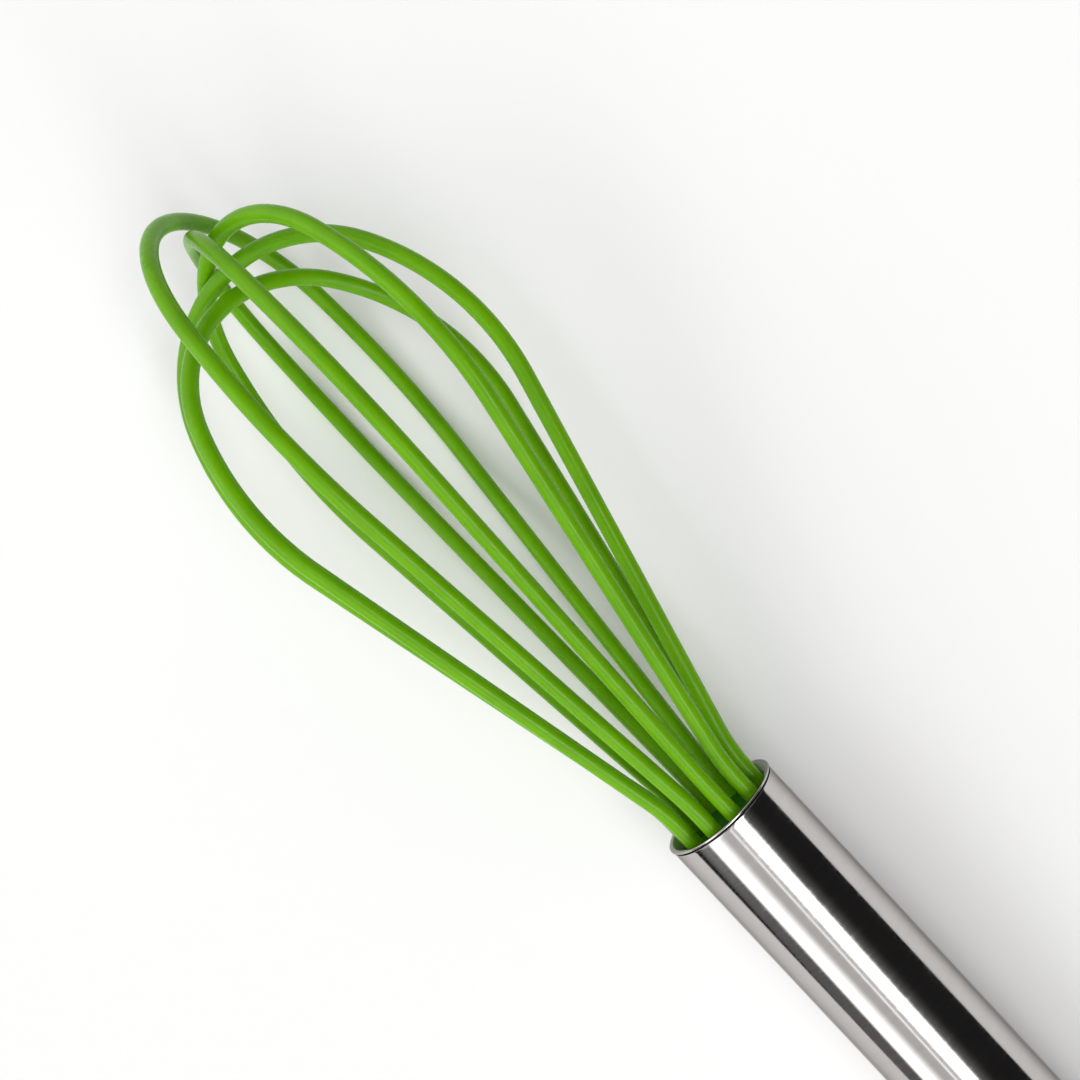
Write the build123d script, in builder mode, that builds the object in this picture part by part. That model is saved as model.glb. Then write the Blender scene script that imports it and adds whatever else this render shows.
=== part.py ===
from build123d import *
import math
import os

os.makedirs("parts", exist_ok=True)

# Balloon whisk lying on a table, in millimetres.
# X runs along the whisk towards the tips of the loops, Z is up, and the table is Z = 0.
# X = 0 and Y = 0 are the middle of the whisk's box. The whisk is built along its own
# axis, from the mouth of the handle tube: plus towards the tips, minus into the handle.

# Handle tube
tube_radius = 12.5
tube_wall = 0.7
tube_length = 122.0
lip_stand = 0.2
lip_width = 0.35
groove_width = 0.32
groove_depth = 0.35
lip_round = 0.15

# Gap left between pieces that are pressed or glued together
fit_gap = 0.05

# Plug, resin, plate and crimps that hold the loops in the tube
plug_recess = 2.7
plug_length = 16.0
plug_round = 0.6
resin_length = 8.0
plate_thickness = 1.5
crimp_radius = 1.75
crimp_length = 6.0
crimp_tail = 0.6

# Loops: a steel core in a silicone sleeve
sleeve_radius = 1.65
core_radius = 0.8
plug_rim = 0.9
lead_out = 1.9
flare_radius = 40.0
head_length = 151.9
straight_share = 0.5

# Each loop: its name, the turn of its plane about the axis from straight up, the angles that
# its right and left legs flare out at, and as shares of the head's length its height, the
# radius of its tip and how far its tip stands to the right. The head's length runs from the
# mouth to the middle of the highest wire
loop_turns_and_shares = [
    ("loop_1", -19.4, 12.3, 12.7, 1.0, 0.1831, -0.0041),
    ("loop_2", 11.5, 9.8, 12.04, 0.9701, 0.1512, -0.0268),
    ("loop_3", 45.6, 14.4, 9.3, 0.9413, 0.1540, 0.0309),
    ("loop_4", 76.6, 14.6, 14.3, 0.9107, 0.1882, -0.0017),
    ("loop_5", -57.4, 13.1, 13.2, 0.8807, 0.1654, 0.0105),
]

# End cap and its seal
seal_thickness = 0.8
seal_width = 0.6
cap_band = 1.4
cap_rise = 3.6
cap_shoulder = 2.0
cap_wall = 0.7
cap_skirt = 7.0
seat_margin = 0.3

# Eye, washer and nut that hold the hanging ring
eye_collar_radius = 3.6
eye_collar_thickness = 0.9
eye_head_radius = 2.9
eye_head_length = 5.6
eye_round = 0.7
shank_radius = 1.5
shank_tail = 0.8
washer_radius = 3.4
washer_thickness = 0.6
nut_flats = 5.5
nut_thickness = 2.4

# Hanging ring: a bent wire whose two ends meet inside the eye
ring_wire = 1.1
ring_fit = 0.05
ring_half_width = 8.0
ring_corner = 3.0
ring_straight = 4.5
ring_joint = 0.2

overrun = 5.0

# Worked out from the sizes above
bore_radius = tube_radius - tube_wall
plug_radius = bore_radius - fit_gap
plug_back = plug_recess + plug_length
resin_back = plug_back + resin_length
plate_back = resin_back + plate_thickness
crimp_back = plate_back + crimp_length
core_hole = core_radius + fit_gap
sleeve_hole = sleeve_radius + fit_gap
leg_circle = plug_radius - plug_rim - sleeve_radius
straight_length = straight_share * head_length
cap_front = tube_length + seal_thickness
band_back = cap_front + cap_band
skirt_bore = plug_radius - cap_wall
shoulder_out = tube_radius - cap_shoulder
inner_shoulder = skirt_bore - shoulder_out
shank_hole = shank_radius + fit_gap
seat_radius = eye_collar_radius + seat_margin


def dome(rise, shoulder):
    """Shoulder and crown of the cap, as (along the axis, away from it), joined smoothly."""
    crown = (rise**2 + shoulder_out**2 - shoulder**2) / (2 * (rise - shoulder))
    crown_center = rise - crown
    stretch = crown / math.hypot(crown_center, shoulder_out)
    seat_rise = crown_center + math.sqrt(crown**2 - seat_radius**2)
    return {
        "crown": crown,
        "join": (-band_back - crown_center + crown_center * stretch, shoulder_out * stretch),
        "seat": (-band_back - seat_rise, seat_radius),
    }


outer_dome = dome(cap_rise, cap_shoulder)
inner_dome = dome(cap_rise - cap_wall, inner_shoulder)
cap_seat = -outer_dome["seat"][0]
collar_top = cap_seat + eye_collar_thickness
eye_top = collar_top + eye_head_length
pin_place = collar_top + eye_head_length / 2
ring_end_center = pin_place + ring_corner + ring_straight
washer_back = -inner_dome["seat"][0]
nut_back = washer_back - washer_thickness
shank_end = nut_back - nut_thickness - shank_tail


def leg_shape(flare, height_share, radius_share, shift_share):
    """Places of one leg in the plane of its loop: (away from the axis, along the axis)."""
    tip_radius = radius_share * head_length
    tip_center = (shift_share * head_length, height_share * head_length - tip_radius)
    angle = math.radians(flare)
    flare_end = (
        leg_circle + flare_radius * (1 - math.cos(angle)),
        lead_out + flare_radius * math.sin(angle),
    )
    straight_end = (
        flare_end[0] + straight_length * math.sin(angle),
        flare_end[1] + straight_length * math.cos(angle),
    )
    # The belly arc leaves the straight run and meets the tip arc without a kink
    inward = (-math.cos(angle), math.sin(angle))
    reach = (straight_end[0] - tip_center[0], straight_end[1] - tip_center[1])
    across = -(reach[0] * inward[0] + reach[1] * inward[1])
    span = reach[0] ** 2 + reach[1] ** 2
    belly_radius = (span - tip_radius**2) / (2 * (across - tip_radius))
    belly_center = (
        straight_end[0] + belly_radius * inward[0],
        straight_end[1] + belly_radius * inward[1],
    )
    to_tip = (tip_center[0] - belly_center[0], tip_center[1] - belly_center[1])
    to_tip_length = math.hypot(*to_tip)
    belly_end = (
        tip_center[0] + tip_radius * to_tip[0] / to_tip_length,
        tip_center[1] + tip_radius * to_tip[1] / to_tip_length,
    )
    return {
        "angle": angle,
        "flare_end": flare_end,
        "straight_end": straight_end,
        "belly_end": belly_end,
        "belly_center": belly_center,
        "belly_radius": belly_radius,
        "tip_center": tip_center,
        "tip_radius": tip_radius,
    }


def leg_drop(turn, leg, tilt):
    """How far under the mouth's middle a lower leg's belly lies once the whisk is tilted."""
    down = -math.cos(math.radians(turn)) * math.cos(tilt)
    center_out, center_along = leg["belly_center"]
    arc_drop = leg["belly_radius"] * math.hypot(down, math.sin(tilt))
    return center_out * down - center_along * math.sin(tilt) + arc_drop + sleeve_radius


def tip_reach(turn, leg, tilt):
    """How far in X the tip of a loop reaches past the mouth's middle."""
    center_out, center_along = leg["tip_center"]
    sink = math.cos(math.radians(turn)) * math.sin(tilt)
    arc_reach = leg["tip_radius"] * math.hypot(math.cos(tilt), sink)
    return center_along * math.cos(tilt) - center_out * sink + arc_reach + sleeve_radius


# Both legs of each loop: the way each one faces from straight up, and its shape
legs = []
for _, turn, right_flare, left_flare, height, bend, shift in loop_turns_and_shares:
    legs.append((turn, leg_shape(right_flare, height, bend, shift)))
    legs.append((turn + 180, leg_shape(left_flare, height, bend, -shift)))
under_legs = [(turn, leg) for turn, leg in legs if math.cos(math.radians(turn)) < 0]

# The whisk lies on the butt of its handle and on its lowest leg: the tilt puts both on Z = 0
tilt = 0.0
for _ in range(30):
    belly_drop = max(leg_drop(turn, leg, tilt) for turn, leg in under_legs)
    butt_drop = cap_shoulder + shoulder_out * math.cos(tilt) + band_back * math.sin(tilt)
    tilt += (belly_drop - butt_drop) / (2 * band_back)

reach_to_tips = max(tip_reach(turn, leg, tilt) for turn, leg in legs)
reach_to_ring = ring_end_center * math.cos(tilt) + ring_half_width + ring_wire
mouth = Vector((reach_to_ring - reach_to_tips) / 2, 0, butt_drop)

along = Vector(math.cos(tilt), 0, math.sin(tilt))
upward = Vector(-math.sin(tilt), 0, math.cos(tilt))
sideways = Vector(0, -1, 0)
whisk_axis = Axis(mouth, along)
turning = Plane(origin=mouth, x_dir=along, z_dir=sideways)


def cross_section(place):
    """Plane square to the axis, its first direction upward, facing the tips."""
    return Plane(origin=mouth + along * place, x_dir=upward, z_dir=along)


def loop_plane(turn):
    """Plane of a loop: out from the axis, then along it."""
    angle = math.radians(turn)
    outward = upward * math.cos(angle) + sideways * math.sin(angle)
    return Plane(origin=mouth, x_dir=outward, z_dir=outward.cross(along))


def draw_loop(lead_in, right_flare, left_flare, height, bend, shift):
    """Lead, flare, straight run and belly of one side, the tip, then the other side."""
    right = leg_shape(right_flare, height, bend, shift)
    left = leg_shape(left_flare, height, bend, -shift)
    left_straight = (-left["straight_end"][0], left["straight_end"][1])
    left_flare = (-left["flare_end"][0], left["flare_end"][1])
    left_belly = (-left["belly_end"][0], left["belly_end"][1])
    tip = (right["tip_center"][0], right["tip_center"][1] + right["tip_radius"])
    Line((leg_circle, -lead_in), (leg_circle, lead_out))
    RadiusArc((leg_circle, lead_out), right["flare_end"], flare_radius)
    Line(right["flare_end"], right["straight_end"])
    RadiusArc(right["straight_end"], right["belly_end"], -right["belly_radius"])
    ThreePointArc(right["belly_end"], tip, left_belly)
    RadiusArc(left_belly, left_straight, -left["belly_radius"])
    Line(left_straight, left_flare)
    RadiusArc(left_flare, (-leg_circle, lead_out), flare_radius)
    Line((-leg_circle, lead_out), (-leg_circle, -lead_in))


# Where the legs pass through the plug, the resin, the plate and the crimps
leg_spots = []
for turn, _ in legs:
    angle = math.radians(turn)
    leg_spots.append((leg_circle * math.cos(angle), leg_circle * math.sin(angle)))


# Handle tube, with a small rolled lip and a groove behind it
with BuildPart() as handle_tube:
    with BuildSketch(turning) as tube_profile:
        with BuildLine():
            Polyline(
                (0, bore_radius),
                (0, tube_radius + lip_stand),
                (-lip_width, tube_radius + lip_stand),
                (-lip_width, tube_radius - groove_depth),
                (-lip_width - groove_width, tube_radius - groove_depth),
                (-lip_width - groove_width, tube_radius),
                (-tube_length, tube_radius),
                (-tube_length, bore_radius),
                close=True,
            )
        make_face()
        lip_corners = tube_profile.vertices().group_by(Axis.Y)[-1]
        fillet(lip_corners, lip_round)
    revolve(axis=whisk_axis)
handle_tube.part.label = "handle_tube"
export_step(handle_tube.part, "parts/handle_tube.step")

# Soft plug in the mouth, with a hole for each leg
with BuildPart() as wire_plug:
    with BuildSketch(cross_section(-plug_back)):
        Circle(plug_radius)
        with Locations(*leg_spots):
            Circle(sleeve_hole, mode=Mode.SUBTRACT)
    extrude(amount=plug_length)
    front_face = wire_plug.faces().sort_by(whisk_axis)[-1]
    chamfer(front_face.outer_wire().edges(), plug_round)
wire_plug.part.label = "wire_plug"
export_step(wire_plug.part, "parts/wire_plug.step")

# Loops: each steel core runs on through the resin and the plate into its crimps
for name, turn, *shape in loop_turns_and_shares:
    with BuildPart() as sleeve:
        with BuildLine(loop_plane(turn)) as sleeve_path:
            draw_loop(plug_back, *shape)
        with BuildSketch(Plane(origin=sleeve_path.line @ 0, z_dir=sleeve_path.line % 0)):
            Circle(sleeve_radius)
            Circle(core_hole, mode=Mode.SUBTRACT)
        sweep(path=sleeve_path.line)
    sleeve.part.label = f"{name}_sleeve"
    export_step(sleeve.part, f"parts/{name}_sleeve.step")

    with BuildPart() as core:
        with BuildLine(loop_plane(turn)) as core_path:
            draw_loop(crimp_back + crimp_tail, *shape)
        with BuildSketch(Plane(origin=core_path.line @ 0, z_dir=core_path.line % 0)):
            Circle(core_radius)
        sweep(path=core_path.line)
    core.part.label = f"{name}_core"
    export_step(core.part, f"parts/{name}_core.step")

# Resin behind the plug, round the bare cores
with BuildPart() as resin_seal:
    with BuildSketch(cross_section(-resin_back)):
        Circle(plug_radius)
        with Locations(*leg_spots):
            Circle(core_hole, mode=Mode.SUBTRACT)
    extrude(amount=resin_length)
resin_seal.part.label = "resin_seal"
export_step(resin_seal.part, "parts/resin_seal.step")

# Steel plate that the crimps pull against
with BuildPart() as anchor_plate:
    with BuildSketch(cross_section(-plate_back)):
        Circle(plug_radius)
        with Locations(*leg_spots):
            Circle(core_hole, mode=Mode.SUBTRACT)
    extrude(amount=plate_thickness)
anchor_plate.part.label = "anchor_plate"
export_step(anchor_plate.part, "parts/anchor_plate.step")

# Crimps, one on each end of each core
with BuildPart() as wire_crimps:
    with BuildSketch(cross_section(-crimp_back)):
        with Locations(*leg_spots):
            Circle(crimp_radius)
            Circle(core_hole, mode=Mode.SUBTRACT)
    extrude(amount=crimp_length)
wire_crimps.part.label = "wire_crimps"
export_step(wire_crimps.part, "parts/wire_crimps.step")

# Flat seal between the tube's end and the cap
with BuildPart() as cap_seal:
    with BuildSketch(cross_section(-cap_front)):
        Circle(bore_radius + seal_width)
        Circle(bore_radius, mode=Mode.SUBTRACT)
    extrude(amount=seal_thickness)
cap_seal.part.label = "cap_seal"
export_step(cap_seal.part, "parts/cap_seal.step")

# Pressed end cap: a skirt in the bore, a band as wide as the tube, a round shoulder and a
# shallow crown with a flat seat for the eye
with BuildPart() as end_cap:
    with BuildSketch(turning):
        with BuildLine():
            Polyline(
                (-band_back, tube_radius),
                (-cap_front, tube_radius),
                (-cap_front, plug_radius),
                (-cap_front + cap_skirt, plug_radius),
                (-cap_front + cap_skirt, skirt_bore),
                (-band_back, skirt_bore),
            )
            RadiusArc((-band_back, tube_radius), outer_dome["join"], -cap_shoulder)
            RadiusArc(outer_dome["join"], outer_dome["seat"], -outer_dome["crown"])
            Polyline(
                outer_dome["seat"],
                (outer_dome["seat"][0], shank_hole),
                (inner_dome["seat"][0], shank_hole),
                inner_dome["seat"],
            )
            RadiusArc(inner_dome["seat"], inner_dome["join"], inner_dome["crown"])
            RadiusArc(inner_dome["join"], (-band_back, skirt_bore), inner_shoulder)
        make_face()
    revolve(axis=whisk_axis)
end_cap.part.label = "end_cap"
export_step(end_cap.part, "parts/end_cap.step")

# Eye: a shank through the cap, a collar on it and a cross-drilled head for the ring
with BuildPart() as hanger_eye:
    with BuildSketch(turning):
        with BuildLine():
            Polyline(
                (-shank_end, 0),
                (-shank_end, shank_radius),
                (-cap_seat, shank_radius),
                (-cap_seat, eye_collar_radius),
                (-collar_top, eye_collar_radius),
                (-collar_top, eye_head_radius),
                (-eye_top, eye_head_radius),
                (-eye_top, 0),
                close=True,
            )
        make_face()
    revolve(axis=whisk_axis)
    fillet(hanger_eye.edges().group_by(whisk_axis)[0], eye_round)
    with BuildSketch(Plane(origin=mouth - along * pin_place, x_dir=along, z_dir=upward)):
        Circle(ring_wire + ring_fit)
    extrude(amount=eye_head_radius + overrun, both=True, mode=Mode.SUBTRACT)
hanger_eye.part.label = "hanger_eye"
export_step(hanger_eye.part, "parts/hanger_eye.step")

# Washer and nut on the shank, inside the cap
with BuildPart() as eye_washer:
    with BuildSketch(cross_section(-washer_back)):
        Circle(washer_radius)
        Circle(shank_hole, mode=Mode.SUBTRACT)
    extrude(amount=washer_thickness)
eye_washer.part.label = "eye_washer"
export_step(eye_washer.part, "parts/eye_washer.step")

with BuildPart() as eye_nut:
    with BuildSketch(cross_section(-nut_back)):
        RegularPolygon(nut_flats / 2, 6, major_radius=False)
        Circle(shank_hole, mode=Mode.SUBTRACT)
    extrude(amount=nut_thickness)
eye_nut.part.label = "eye_nut"
export_step(eye_nut.part, "parts/eye_nut.step")

# Hanging ring: a D of wire, its straight side through the eye
ring_plane = Plane(origin=mouth - along * pin_place, x_dir=upward, z_dir=sideways)
with BuildPart() as hanging_ring:
    with BuildLine(ring_plane) as ring_path:
        side = ring_half_width
        pin = ring_half_width - ring_corner
        leg_end = ring_corner + ring_straight
        Line((ring_joint / 2, 0), (pin, 0))
        RadiusArc((pin, 0), (side, ring_corner), -ring_corner)
        Line((side, ring_corner), (side, leg_end))
        ThreePointArc((side, leg_end), (0, leg_end + ring_half_width), (-side, leg_end))
        Line((-side, leg_end), (-side, ring_corner))
        RadiusArc((-side, ring_corner), (-pin, 0), -ring_corner)
        Line((-pin, 0), (-ring_joint / 2, 0))
    with BuildSketch(Plane(origin=ring_path.line @ 0, z_dir=ring_path.line % 0)):
        Circle(ring_wire)
    sweep(path=ring_path.line)
hanging_ring.part.label = "hanging_ring"
export_step(hanging_ring.part, "parts/hanging_ring.step")
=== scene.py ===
import math
import bpy
import numpy as np
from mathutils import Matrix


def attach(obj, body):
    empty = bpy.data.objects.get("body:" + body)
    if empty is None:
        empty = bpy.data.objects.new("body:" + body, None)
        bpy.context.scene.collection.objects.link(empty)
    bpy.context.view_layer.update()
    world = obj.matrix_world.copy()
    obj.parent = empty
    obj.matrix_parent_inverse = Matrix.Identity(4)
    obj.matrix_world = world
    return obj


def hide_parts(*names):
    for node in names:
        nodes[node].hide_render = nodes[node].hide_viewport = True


# Balloon whisk with silicone wires and a steel handle, lying on a pale table. Metres.
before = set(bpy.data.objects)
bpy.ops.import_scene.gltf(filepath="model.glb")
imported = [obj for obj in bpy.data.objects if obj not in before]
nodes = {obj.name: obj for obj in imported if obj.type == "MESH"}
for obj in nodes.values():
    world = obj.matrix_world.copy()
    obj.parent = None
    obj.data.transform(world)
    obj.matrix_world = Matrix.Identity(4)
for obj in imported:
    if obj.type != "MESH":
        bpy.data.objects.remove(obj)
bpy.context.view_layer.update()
print("frame loaded")

mm = 0.001

# The whisk's own axis: from the mouth of the tube, plus towards the tips
axisPlace = {"mouth": (-2.86533, 0.0, 21.7104), "tilt": 4.266313618}
tilt = math.radians(axisPlace["tilt"])
mouth = np.array(axisPlace["mouth"])
along = np.array([math.cos(tilt), 0.0, math.sin(tilt)])
upward = np.array([-math.sin(tilt), 0.0, math.cos(tilt)])
sideways = np.array([0.0, -1.0, 0.0])


# Shapes


sharpAngle = 40


def makePiece(name, points, closed=(False, True), sharp=sharpAngle, turnOver=False):
    # Points is a grid, rows by columns by xyz in mm; each axis can close on itself, and rows
    # that don't are closed by a flat face at each end
    rows, cols = points.shape[:2]
    index = np.arange(rows * cols).reshape(rows, cols)
    if closed[0]:
        index = np.vstack([index, index[:1]])
    if closed[1]:
        index = np.hstack([index, index[:, :1]])
    quads = np.stack([index[:-1, :-1], index[:-1, 1:], index[1:, 1:], index[1:, :-1]], axis=-1)
    quads = quads.reshape(-1, 4)
    faces = quads.tolist()
    if not closed[0]:
        faces += [index[0, :cols][::-1].tolist(), index[-1, :cols].tolist()]
    if turnOver:
        faces = [face[::-1] for face in faces]
    return meshFrom(name, points.reshape(-1, 3) * mm, faces, sharp)


def meshFrom(name, verts, faces, sharp):
    mesh = bpy.data.meshes.new(name)
    mesh.from_pydata(verts.tolist(), [], faces)
    mesh.update()
    mesh.shade_smooth()
    mesh.set_sharp_from_angle(angle=math.radians(sharp))
    piece = bpy.data.objects.new(name, mesh)
    bpy.context.scene.collection.objects.link(piece)
    return piece


def onAxis(place, out, angle):
    # A point at a place along the axis, so far out from it, at an angle from straight up
    place, out, angle = np.broadcast_arrays(place, out, angle)
    direction = np.cos(angle)[..., None] * upward + np.sin(angle)[..., None] * sideways
    return mouth + place[..., None] * along + out[..., None] * direction


def turned(name, profile, steps, sharp):
    # A closed profile of (along, out) points spun about the whisk's axis
    angle = np.linspace(0, 2 * math.pi, steps, endpoint=False)
    points = onAxis(profile[:, :1], profile[:, 1:], angle[None, :])
    return makePiece(name, points, closed=(True, True), sharp=sharp, turnOver=True)


def rounded(corners, radii, steps=6):
    # A polygon with each corner turned into an arc of its radius, 0 leaving it sharp
    corners = np.array(corners, float)
    before, after = np.roll(corners, 1, axis=0), np.roll(corners, -1, axis=0)
    made = []
    for corner, prev, nxt, radius in zip(corners, before, after, radii):
        if radius == 0:
            made.append(corner[None])
            continue
        toPrev = (prev - corner) / np.linalg.norm(prev - corner)
        toNext = (nxt - corner) / np.linalg.norm(nxt - corner)
        half = math.acos(np.clip(toPrev @ toNext, -1, 1)) / 2
        middle = (toPrev + toNext) / np.linalg.norm(toPrev + toNext)
        center = corner + middle * radius / math.sin(half)
        first = corner + toPrev * radius / math.tan(half) - center
        last = corner + toNext * radius / math.tan(half) - center
        sweep = np.linspace(0, 1, steps + 1)[:, None]
        spread = math.acos(np.clip(first @ last / radius**2, -1, 1))
        made.append(center + (np.sin((1 - sweep) * spread) * first + np.sin(sweep * spread) * last)
                    / math.sin(spread))
    return np.vstack(made)


def bentPath(start, runs, step, first=0.0):
    # Runs are (length, bend) with bend one over the radius, each tangent to the last.
    # Gives points and headings in a plane, the heading being the angle from +y towards +x
    lengths = []
    bends = []
    for length, bend in runs:
        count = max(1, math.ceil(length / step))
        lengths.append(np.full(count, length / count))
        bends.append(np.full(count, bend))
    lengths, bends = np.concatenate(lengths), np.concatenate(bends)
    turns = lengths * bends
    heading = first + np.concatenate([[0], np.cumsum(turns)])
    middle = heading[:-1] + turns / 2
    chord = lengths * np.sinc(turns / (2 * math.pi))
    steps = np.stack([np.sin(middle), np.cos(middle)], axis=1) * chord[:, None]
    points = np.vstack([start, start + np.cumsum(steps, axis=0)])
    return points, heading


def wire(name, path, heading, plane, origin, radius, around, hollow=0.0):
    # A round wire on a path in a plane, with a bore through it where hollow isn't 0
    right, ahead = plane
    across = np.cross(right, ahead)
    center = origin + path[:, :1] * right + path[:, 1:] * ahead
    normal = np.cos(heading)[:, None] * right - np.sin(heading)[:, None] * ahead
    angle = np.linspace(0, 2 * math.pi, around, endpoint=False)
    ring = (np.cos(angle)[None, :, None] * normal[:, None]
            + np.sin(angle)[None, :, None] * across[None, None])
    outer = center[:, None] + radius * ring
    if hollow:
        inner = (center[:, None] + hollow * ring)[::-1]
        return makePiece(name, np.concatenate([outer, inner]), closed=(True, True), turnOver=True)
    return makePiece(name, outer, closed=(False, True), turnOver=True)


# Shader nodes


class Value:
    # A socket that takes part in sums
    def __init__(self, tree, socket):
        self.tree = tree
        self.socket = socket

    def sum(self, operation, a, b):
        return self.tree.add("ShaderNodeMath", {"operation": operation}, {0: a, 1: b})

    def __add__(self, other):
        return self.sum("ADD", self, other)

    __radd__ = __add__

    def __sub__(self, other):
        return self.sum("SUBTRACT", self, other)

    def __mul__(self, other):
        return self.sum("MULTIPLY", self, other)

    __rmul__ = __mul__

    def spread(self, low, high, start=0.0, end=1.0):
        # Goes smoothly from start to end as the value goes from low to high
        return self.tree.add("ShaderNodeMapRange", {"interpolation_type": "SMOOTHSTEP"},
                             {"Value": self, "From Min": low, "From Max": high,
                              "To Min": start, "To Max": end}, "Result")

    def within(self, low, high, fadeIn, fadeOut):
        # 1 from low to high, fading out on each side
        return self.spread(low - fadeIn, low) * self.spread(high, high + fadeOut, 1.0, 0.0)


class Tree:
    # Node tree of a material or world
    def __init__(self, owner):
        owner.use_nodes = True
        self.tree = owner.node_tree
        self.tree.nodes.clear()

    def add(self, kind, settings=None, inputs=None, output=0):
        node = self.tree.nodes.new(kind)
        for key, value in (settings or {}).items():
            setattr(node, key, value)
        for key, value in (inputs or {}).items():
            if isinstance(value, Value):
                self.tree.links.new(value.socket, node.inputs[key])
            else:
                node.inputs[key].default_value = value
        return Value(self, node.outputs[output]) if node.outputs else node

    def coords(self, scale=(1, 1, 1), turn=(0, 0, 0)):
        place = self.add("ShaderNodeTexCoord", output="Object")
        return self.add("ShaderNodeMapping", {}, {"Vector": place, "Scale": scale, "Rotation": turn})

    def noise(self, vector, scale, detail=2.0, rough=0.5):
        return self.add("ShaderNodeTexNoise", {}, {"Vector": vector, "Scale": scale,
                                                   "Detail": detail, "Roughness": rough}, "Fac")

    def mixed(self, share, a, b):
        node = self.tree.nodes.new("ShaderNodeMix")
        node.data_type = "RGBA"
        for key, value in (("Factor", share), ("A", a), ("B", b)):
            slots = [s for s in node.inputs if s.name == key and s.enabled]
            if isinstance(value, Value):
                self.tree.links.new(value.socket, slots[0])
            else:
                slots[0].default_value = value
        return Value(self, [s for s in node.outputs if s.enabled][0])

    def bump(self, height, strength, distance):
        return self.add("ShaderNodeBump", {}, {"Height": height, "Strength": strength,
                                               "Distance": distance})

    def principled(self, inputs):
        shader = self.add("ShaderNodeBsdfPrincipled", {}, inputs)
        self.add("ShaderNodeOutputMaterial", {}, {"Surface": shader})
        return shader


def color(red, green, blue):
    return (red, green, blue, 1.0)


def dress(piece, material):
    piece.data.materials.clear()
    piece.data.materials.append(material)


axisTurn = (0.0, tilt, 0.0)  # turns Object coordinates so that X runs along the whisk

# Parts of a noise's range that become the whole range of what it drives
patches = (0.35, 0.7)
middling = (0.3, 0.7)
most = (0.25, 0.75)

siliconeLook = {
    "color": (0.138, 0.370, 0.0004), "deep": (0.116, 0.325, 0.0003), "rough": 0.30, "shine": 0.27,
    "scatter": 0.25, "scatterScale": 0.0012, "scatterColors": (0.5, 1.0, 0.12), "ior": 1.41,
    "grain": 0.012, "grainHeight": 0.00008, "grainScale": 2600.0, "cloudScale": 90.0,
    "roughScale": 260.0, "roughSpread": 0.06,
}


def siliconeMaterial(name, look):
    material = bpy.data.materials.new(name)
    tree = Tree(material)
    place = tree.coords()
    cloud = tree.noise(place, look["cloudScale"], 3.0).spread(*patches)
    grain = tree.noise(place, look["grainScale"])
    rough = tree.noise(place, look["roughScale"], 3.0).spread(
        *middling, look["rough"] - look["roughSpread"], look["rough"] + look["roughSpread"])
    tree.principled({
        "Base Color": tree.mixed(cloud, color(*look["color"]), color(*look["deep"])),
        "Roughness": rough, "IOR": look["ior"], "Specular IOR Level": look["shine"],
        "Subsurface Weight": look["scatter"], "Subsurface Radius": look["scatterColors"],
        "Subsurface Scale": look["scatterScale"],
        "Normal": tree.bump(grain, look["grain"], look["grainHeight"]),
    })
    return material


steelLook = {
    "color": (0.545, 0.525, 0.51), "metal": 1.0, "rough": 0.09, "roughLines": 0.09, "smudge": 0.02,
    "lines": 0.22, "lineHeight": 0.00004, "lineScale": (5200.0, 60.0, 60.0),
    "bandScale": (5200.0 / 9, 25.0, 25.0), "bandShare": 0.4, "smudgeScale": 60.0,
    "lineShade": 0.12, "bandShade": 0.08, "edge": (0.46, 0.45, 0.44),
}
boreLook = dict(steelLook, color=(0.66, 0.65, 0.635), metal=0.1, rough=0.6, lines=0.5)
# The groove's faces are painted near-black: painted shade and painted dark reflection for the narrow
# recess behind the lip
grooveShadeLook = dict(steelLook, color=(0.03, 0.028, 0.026), rough=0.5)


def steelMaterial(name, look):
    # Fine lines and wider bands run round the tube: the noise is squeezed along the whisk's axis
    material = bpy.data.materials.new(name)
    tree = Tree(material)
    lines = tree.noise(tree.coords(look["lineScale"], axisTurn), 1.0, 3.0, 0.6)
    bands = tree.noise(tree.coords(look["bandScale"], axisTurn), 1.0)
    smudge = tree.noise(tree.coords(), look["smudgeScale"], 4.0).spread(*middling, 0.0, look["smudge"])
    half = look["roughLines"] / 2
    rough = lines.spread(*most, look["rough"] - half, look["rough"] + half) + smudge
    shade = (lines - 0.5) * look["lineShade"] + (bands - 0.5) * look["bandShade"] + 0.5
    height = lines * (1 - look["bandShare"]) + bands * look["bandShare"]
    dark, light = ([share * part for part in look["color"]] for share in (0.5, 1.5))
    tree.principled({
        "Base Color": tree.mixed(shade, color(*dark), color(*light)),
        "Metallic": look["metal"], "Roughness": rough, "Specular Tint": color(*look["edge"]),
        "Normal": tree.bump(height, look["lines"], look["lineHeight"]),
    })
    return material


plainLook = {
    "spotScale": 900.0, "spotHeight": 0.00006, "cloudScale": 900.0 / 14, "dark": 0.8,
    "roughSpread": 0.05,
}


def plainMaterial(name, base, rough, metal=0.0, grain=0.1):
    material = bpy.data.materials.new(name)
    tree = Tree(material)
    spots = tree.noise(tree.coords(), plainLook["spotScale"], 3.0)
    cloud = tree.noise(tree.coords(), plainLook["cloudScale"], 3.0)
    dark = color(*[plainLook["dark"] * part for part in base])
    spread = plainLook["roughSpread"]
    tree.principled({
        "Base Color": tree.mixed(cloud.spread(*patches), color(*base), dark),
        "Roughness": spots.spread(*most, rough - spread, rough + spread), "Metallic": metal,
        "Normal": tree.bump(spots, grain, plainLook["spotHeight"]),
    })
    return material


# Loops

sleeve = {
    "radius": 1.65, "bore": 0.85, "around": 44, "step": 0.8, "leadOut": 1.9, "plugBack": 18.7,
    "legCircle": 9.2, "flareRadius": 40.0, "headLength": 151.9, "straightShare": 0.5,
}
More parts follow.
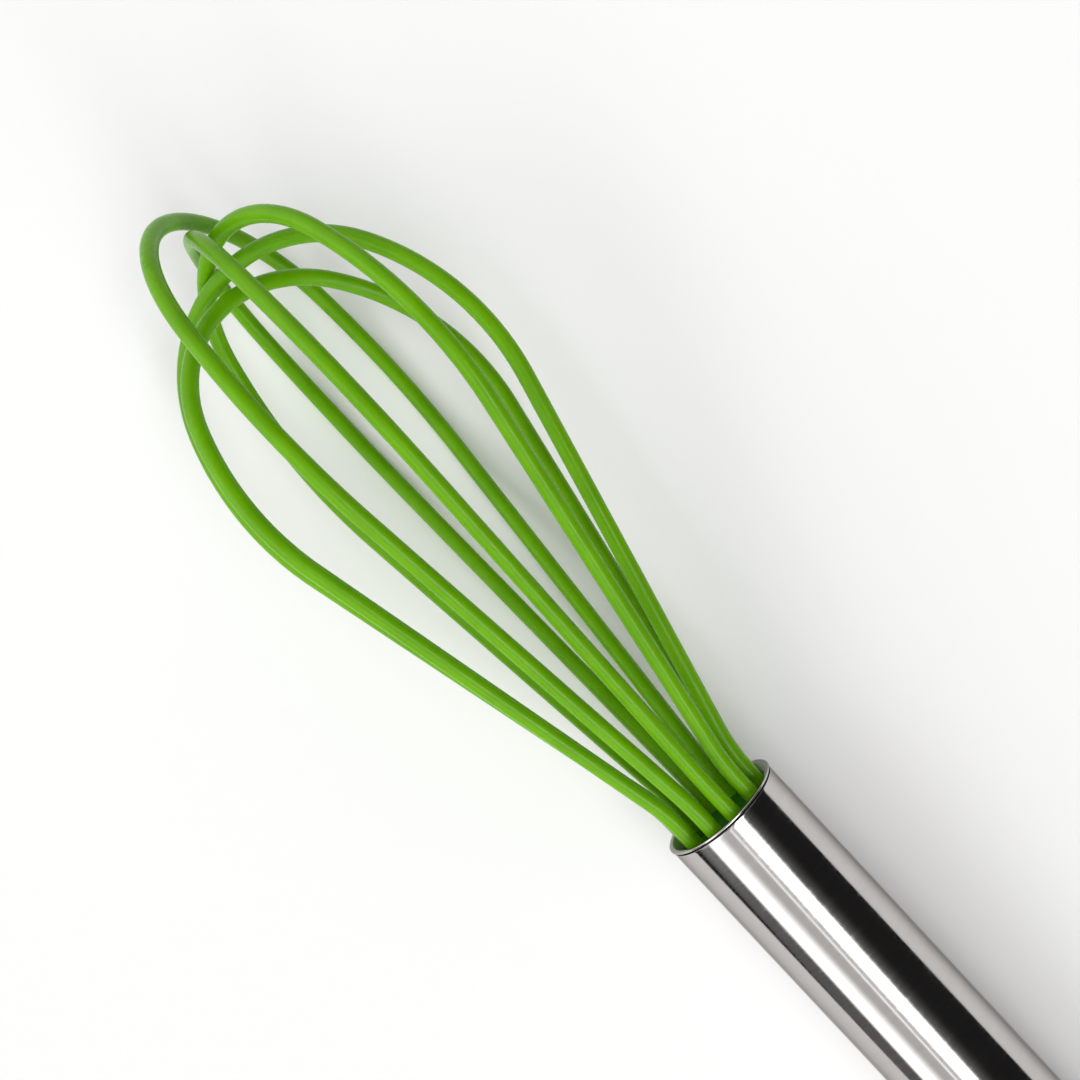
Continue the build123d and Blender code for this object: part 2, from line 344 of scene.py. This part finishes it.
# Name, turn of its plane from straight up, right and left flare, and shares of the head's
# length: height, tip radius, and how far the tip stands to the right
loopList = [
    ("loop_1", -19.4, 12.3, 12.7, 1.0, 0.1831, -0.0041),
    ("loop_2", 11.5, 9.8, 12.04, 0.9701, 0.1512, -0.0268),
    ("loop_3", 45.6, 14.4, 9.3, 0.9413, 0.1540, 0.0309),
    ("loop_4", 76.6, 14.6, 14.3, 0.9107, 0.1882, -0.0017),
    ("loop_5", -57.4, 13.1, 13.2, 0.8807, 0.1654, 0.0105),
]


def legRuns(flare, heightShare, radiusShare, shiftShare):
    # Runs of one leg up to its tip arc, and the angle at which it meets that arc
    length = sleeve["headLength"]
    tipRadius = radiusShare * length
    tipOut, tipHeight = shiftShare * length, heightShare * length - tipRadius
    straight = sleeve["straightShare"] * length
    flareRadius = sleeve["flareRadius"]
    angle = math.radians(flare)
    out = sleeve["legCircle"] + flareRadius * (1 - math.cos(angle)) + straight * math.sin(angle)
    up = sleeve["leadOut"] + flareRadius * math.sin(angle) + straight * math.cos(angle)
    reachOut, reachUp = out - tipOut, up - tipHeight
    across = reachOut * math.cos(angle) - reachUp * math.sin(angle)
    belly = (reachOut**2 + reachUp**2 - tipRadius**2) / (2 * (across - tipRadius))
    bellyOut = out - belly * math.cos(angle)
    bellyUp = up + belly * math.sin(angle)
    meet = math.atan2(tipHeight - bellyUp, tipOut - bellyOut)
    runs = [
        (sleeve["plugBack"] + sleeve["leadOut"], 0.0),
        (flareRadius * angle, 1 / flareRadius),
        (straight, 0.0),
        (belly * (meet + angle), -1 / belly),
    ]
    return runs, meet, tipRadius


silicone = siliconeMaterial("lime silicone", siliconeLook)
for name, turn, rightFlare, leftFlare, height, bend, shift in loopList:
    right, meetRight, tipRadius = legRuns(rightFlare, height, bend, shift)
    left, meetLeft, _ = legRuns(leftFlare, height, bend, -shift)
    tipRun = (tipRadius * (math.pi - meetRight - meetLeft), -1 / tipRadius)
    start = np.array([sleeve["legCircle"], -sleeve["plugBack"]])
    path, heading = bentPath(start, right + [tipRun] + left[::-1], sleeve["step"])
    angle = math.radians(turn)
    outward = upward * math.cos(angle) + sideways * math.sin(angle)
    piece = wire(f"{name}_silicone", path, heading, (outward, along), mouth,
                 sleeve["radius"], sleeve["around"], sleeve["bore"])
    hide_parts(f"{name}_sleeve")
    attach(piece, "whisk")
    dress(piece, silicone)
print("loops made")

# Handle tube

tube = {
    "radius": 12.5, "wall": 0.7, "length": 122.0, "lipStand": 0.2, "lipWidth": 0.35,
    "grooveWidth": 0.45, "grooveDepth": 0.4, "around": 192, "level": 0.5,
    "rounds": [0.1, 0.15, 0.1, 0.04, 0.04, 0.06, 0, 0, 0.15, 0.05, 0, 0], "sharp": 50,
}


def tubeProfile(sizes):
    outer, bore = sizes["radius"], sizes["radius"] - sizes["wall"]
    lip, groove = outer + sizes["lipStand"], outer - sizes["grooveDepth"]
    edge = -sizes["lipWidth"]
    behind = edge - sizes["grooveWidth"]
    butt, level = -sizes["length"], sizes["level"]
    # The long runs have a point close to each end, so that the roundings don't bend their shading
    corners = [(0, bore), (0, lip), (edge, lip), (edge, groove), (behind, groove), (behind, outer),
               (behind - level, outer), (butt + level, outer), (butt, outer), (butt, bore),
               (butt + level, bore), (-level, bore)]
    return rounded(corners, sizes["rounds"])


def finishFaces(piece, profile, steps, finishes):
    # Each finish is a material and a test of the profile's (along, out) at a face's middle
    middle = (profile + np.roll(profile, -1, axis=0)) / 2
    slots = np.zeros(len(profile), int)
    for slot, (material, test) in enumerate(finishes, start=1):
        piece.data.materials.append(material)
        slots[test(middle[:, 0], middle[:, 1])] = slot
    piece.data.polygons.foreach_set("material_index", np.repeat(slots, steps))


def inBore(place, out):
    slack = 0.05
    return out < tube["radius"] - tube["wall"] + slack


def inGroove(place, out):
    front, behind = -tube["lipWidth"], -tube["lipWidth"] - tube["grooveWidth"]
    slack, below = 0.01, 0.08
    return (place < front - slack) & (place > behind) & (out < tube["radius"] - below)


steel = steelMaterial("brushed handle steel", steelLook)
profile = tubeProfile(tube)
handle = turned("handle_steel", profile, tube["around"], tube["sharp"])
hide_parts("handle_tube")
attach(handle, "whisk")
dress(handle, steel)
finishFaces(handle, profile, tube["around"], [
    (steelMaterial("drawn bore steel", boreLook), inBore),
    # the groove's faces take the near-black painted shade
    (steelMaterial("groove painted shade", grooveShadeLook), inGroove),
])
print("handle made")

# Plug in the mouth

plug = {
    "recess": 2.7, "radius": 11.75, "length": 16.0, "collar": 0.35, "collarWidth": 0.55,
    "dish": 0.35, "rings": 60, "around": 240, "edge": 0.6, "hole": 1.7, "core": 0.02, "reach": 3.0,
}
legTurns = [math.radians(turn + half) for _, turn, *_ in loopList for half in (0, 180)]


def plugFront(out, angle):
    # Height of the face: a shallow dish with a raised collar round each leg and a round edge
    gap = np.full(out.shape, plug["radius"])
    for leg in legTurns:
        away = np.hypot(out * np.cos(angle) - sleeve["legCircle"] * math.cos(leg),
                        out * np.sin(angle) - sleeve["legCircle"] * math.sin(leg))
        gap = np.minimum(gap, np.abs(away - sleeve["radius"]))
    collar = plug["collar"] * np.exp(-(gap / plug["collarWidth"]) ** 2)
    dish = -plug["dish"] * (1 - (out / plug["radius"]) ** 2)
    inEdge = np.clip((out - plug["radius"] + plug["edge"]) / plug["edge"], 0, 1)
    return dish + collar * (1 - inEdge) - plug["edge"] * inEdge**2


def legHoles():
    # A long rod for each leg, to cut the plug with
    straight = np.array([[0.0, -plug["recess"] - plug["length"] - plug["reach"]], [0.0, plug["reach"]]])
    for number, leg in enumerate(legTurns):
        outward = upward * math.cos(leg) + sideways * math.sin(leg)
        origin = mouth + sleeve["legCircle"] * outward
        yield wire(f"hole_{number}", straight, np.zeros(2), (outward, along), origin,
                   plug["hole"], sleeve["around"])


def cutAway(piece, cutters):
    for cutter in cutters:
        cut = piece.modifiers.new(cutter.name, "BOOLEAN")
        cut.object = cutter
        cut.solver = "EXACT"
    bpy.context.view_layer.update()
    made = bpy.data.meshes.new_from_object(piece.evaluated_get(bpy.context.evaluated_depsgraph_get()))
    piece.modifiers.clear()
    piece.data = made
    for cutter in cutters:
        bpy.data.objects.remove(cutter)


share = np.linspace(plug["core"], 1, plug["rings"])[:, None]
angle = np.linspace(0, 2 * math.pi, plug["around"], endpoint=False)[None, :]
out, angle = np.broadcast_arrays(plug["radius"] * share, angle)
face = onAxis(-plug["recess"] + plugFront(out, angle), out, angle)
back = onAxis(np.full((2, plug["around"]), -plug["recess"] - plug["length"]),
              out[[-1, 0]], angle[:2])
plugPiece = makePiece("plug_silicone", np.concatenate([face, back]))
cutAway(plugPiece, list(legHoles()))
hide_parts("wire_plug")
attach(plugPiece, "whisk")
# The plug's silicone is darkened to a near-black green as painted shade for its recess deep in the
# mouth, between the legs
plugShadeLook = dict(siliconeLook, color=(0.010, 0.095, 0.001), deep=(0.007, 0.07, 0.001), rough=0.45,
                shine=0.12, scatter=0.1)
dress(plugPiece, siliconeMaterial("plug silicone painted with shade", plugShadeLook))
print("plug made")

# Hanging ring, a D of wire whose ends meet inside the eye
ring = {
    "wire": 1.1, "halfWidth": 8.0, "corner": 3.0, "straight": 4.5, "joint": 0.2, "around": 36,
    "step": 0.25, "place": -131.29529,
}
ringSteel = plainMaterial("polished ring steel", (0.62, 0.605, 0.59), 0.16, 1.0, 0.04)
pinRun = (ring["halfWidth"] - ring["corner"] - ring["joint"] / 2, 0.0)
cornerRun = (ring["corner"] * math.pi / 2, -1 / ring["corner"])
ringRuns = [pinRun, cornerRun, (ring["straight"], 0.0),
            (ring["halfWidth"] * math.pi, -1 / ring["halfWidth"]),
            (ring["straight"], 0.0), cornerRun, pinRun]
path, heading = bentPath(np.array([ring["joint"] / 2, 0.0]), ringRuns, ring["step"], math.pi / 2)
ringPiece = wire("ring_steel", path, heading, (upward, -along), mouth + ring["place"] * along,
                 ring["wire"], ring["around"])
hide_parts("hanging_ring")
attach(ringPiece, "ring")
dress(ringPiece, ringSteel)
print("ring made")

# Pieces that keep their CAD shape
zinc = plainMaterial("zinc steel", (0.55, 0.55, 0.56), 0.35, 1.0, 0.1)
finishes = {
    "end_cap": steel,
    "hanger_eye": plainMaterial("satin eye steel", (0.60, 0.59, 0.575), 0.24, 1.0, 0.05),
    "eye_washer": zinc,
    "eye_nut": zinc,
    "cap_seal": plainMaterial("black seal rubber", (0.02, 0.02, 0.02), 0.7, 0.0, 0.2),
    "resin_seal": plainMaterial("amber resin", (0.5, 0.36, 0.16), 0.3, 0.0, 0.1),
    "anchor_plate": plainMaterial("plate steel", (0.5, 0.5, 0.5), 0.4, 1.0, 0.15),
    "wire_crimps": plainMaterial("crimp aluminium", (0.68, 0.68, 0.69), 0.38, 1.0, 0.15),
}
coreSteel = plainMaterial("spring steel", (0.55, 0.55, 0.55), 0.3, 1.0, 0.1)
for name, *_ in loopList:
    finishes[f"{name}_core"] = coreSteel
for name, material in finishes.items():
    dress(nodes[name], material)
print("small parts dressed")

# Floor, light and camera

floorLook = {"size": 12.0, "color": (0.885, 0.879, 0.876), "rough": 0.85}


def makeFloor(look):
    half = look["size"] / 2
    corners = np.array([[-half, -half, 0], [half, -half, 0], [half, half, 0], [-half, half, 0]])
    floor = meshFrom("floor", corners, [[0, 1, 2, 3]], sharpAngle)
    material = bpy.data.materials.new("pale floor")
    Tree(material).principled({"Base Color": color(*look["color"]), "Roughness": look["rough"]})
    dress(floor, material)


makeFloor(floorLook)

# The room is a set of soft boxes. Each one's roll is how far it reaches round the whisk, in
# degrees from overhead, plus towards +Y; toward is how far it reaches along the whisk, from -1
# at the handle's end to 1 at the tips' end. Fades are how soft its edges are. The boxes run at
# a slant to the whisk: their roll grows by the skew away from the pivot, up to the limit
roomLook = {
    "strength": 0.83, "background": 1.0, "dark": 0.02, "skew": 52.0, "pivot": -0.485, "limit": -0.3,
    "boxes": {
        "lamp": {"roll": (-10.5, 0), "fade": (8, 6), "toward": (-2.0, -0.3),
                 "end": 0.1, "level": 9.3},
        "glow": {"roll": (-12, 4), "fade": (30, 8), "toward": (-2.0, -0.3),
                 "end": 0.1, "level": 0.16},
        "strip": {"roll": (13.2, 14.6), "fade": (1.2, 1.2), "toward": (-2.0, -0.3),
                  "end": 0.1, "level": 1.7},
        "ceiling": {"roll": (4, 60), "fade": (8, 8), "toward": (-2.0, -0.3),
                    "end": 0.1, "level": 0.83},
        "window": {"roll": (51, 61.5), "fade": (22, 6), "toward": (-2.0, 0.3),
                   "end": 0.3, "level": 2.1},
        "wall": {"roll": (66, 88), "fade": (4, 4), "toward": (-2.0, 0.5),
                 "end": 0.3, "level": 0.16},
        "far": {"roll": (-52, 60), "fade": (20, 20), "toward": (0.55, 2.0),
                "end": 0.25, "level": 1.2},
        "sky": {"roll": (35, 75), "fade": (15, 15), "toward": (-0.2, 0.6),
                "end": 0.2, "level": 0.6},
        "side": {"roll": (70, 95), "fade": (20, 5), "toward": (0.25, 2.0),
                 "end": 0.25, "level": 1.3},
        "above": {"roll": (-40, 40), "fade": (20, 20), "toward": (-0.15, 0.35),
                  "end": 0.1, "level": 0.12},
    },
}


def makeRoom(look):
    world = bpy.data.worlds.new("room")
    bpy.context.scene.world = world
    tree = Tree(world)
    direction = tree.add("ShaderNodeTexCoord", output="Generated")
    x, y, z = [tree.add("ShaderNodeSeparateXYZ", {}, {"Vector": direction}, axis) for axis in "XYZ"]
    slant = (x.sum("MINIMUM", x, look["limit"]) - look["pivot"]) * look["skew"]
    roll = x.sum("ARCTAN2", y, z) * (180 / math.pi) + slant
    level = look["dark"]
    for box in look["boxes"].values():
        around = roll.within(*box["roll"], *box["fade"])
        level = around * x.within(*box["toward"], box["end"], box["end"]) * box["level"] + level
    light, white = (
        tree.add("ShaderNodeBackground", {}, {"Color": color(1, 1, 1), "Strength": strength})
        for strength in (level * look["strength"], look["background"]))
    path = tree.add("ShaderNodeLightPath", output="Is Camera Ray")
    mixed = tree.add("ShaderNodeMixShader", {}, {0: path, 1: light, 2: white})
    tree.add("ShaderNodeOutputWorld", {}, {"Surface": mixed})


makeRoom(roomLook)

# The photo's view, as the camera's place and directions on the whisk's own axes
view = {
    "roll": 2.9, "place": (72.19, 9.72, 244.46), "right": (-0.68000, 0.73257, 0.03069),
    "up": (0.73183, 0.68069, -0.03303), "lens": 42.65, "sensor": 36.0, "nearest": 0.005,
}


def makeCamera(sizes):
    turn = math.radians(sizes["roll"])
    side = sideways * math.cos(turn) - upward * math.sin(turn)
    top = upward * math.cos(turn) + sideways * math.sin(turn)
    axes = np.stack([along, side, top])
    right, up = np.array(sizes["right"]) @ axes, np.array(sizes["up"]) @ axes
    place = (mouth + np.array(sizes["place"]) @ axes) * mm
    camera = bpy.data.cameras.new("camera")
    camera.lens = sizes["lens"]
    camera.sensor_width = sizes["sensor"]
    camera.clip_start = sizes["nearest"]
    shown = bpy.data.objects.new("camera", camera)
    matrix = np.eye(4)
    matrix[:3, 0], matrix[:3, 1], matrix[:3, 2] = right, up, np.cross(right, up)
    matrix[:3, 3] = place
    shown.matrix_world = matrix.T
    bpy.context.scene.collection.objects.link(shown)
    bpy.context.scene.camera = shown


makeCamera(view)
bpy.context.scene.view_settings.view_transform = "Standard"
print("room and camera made")
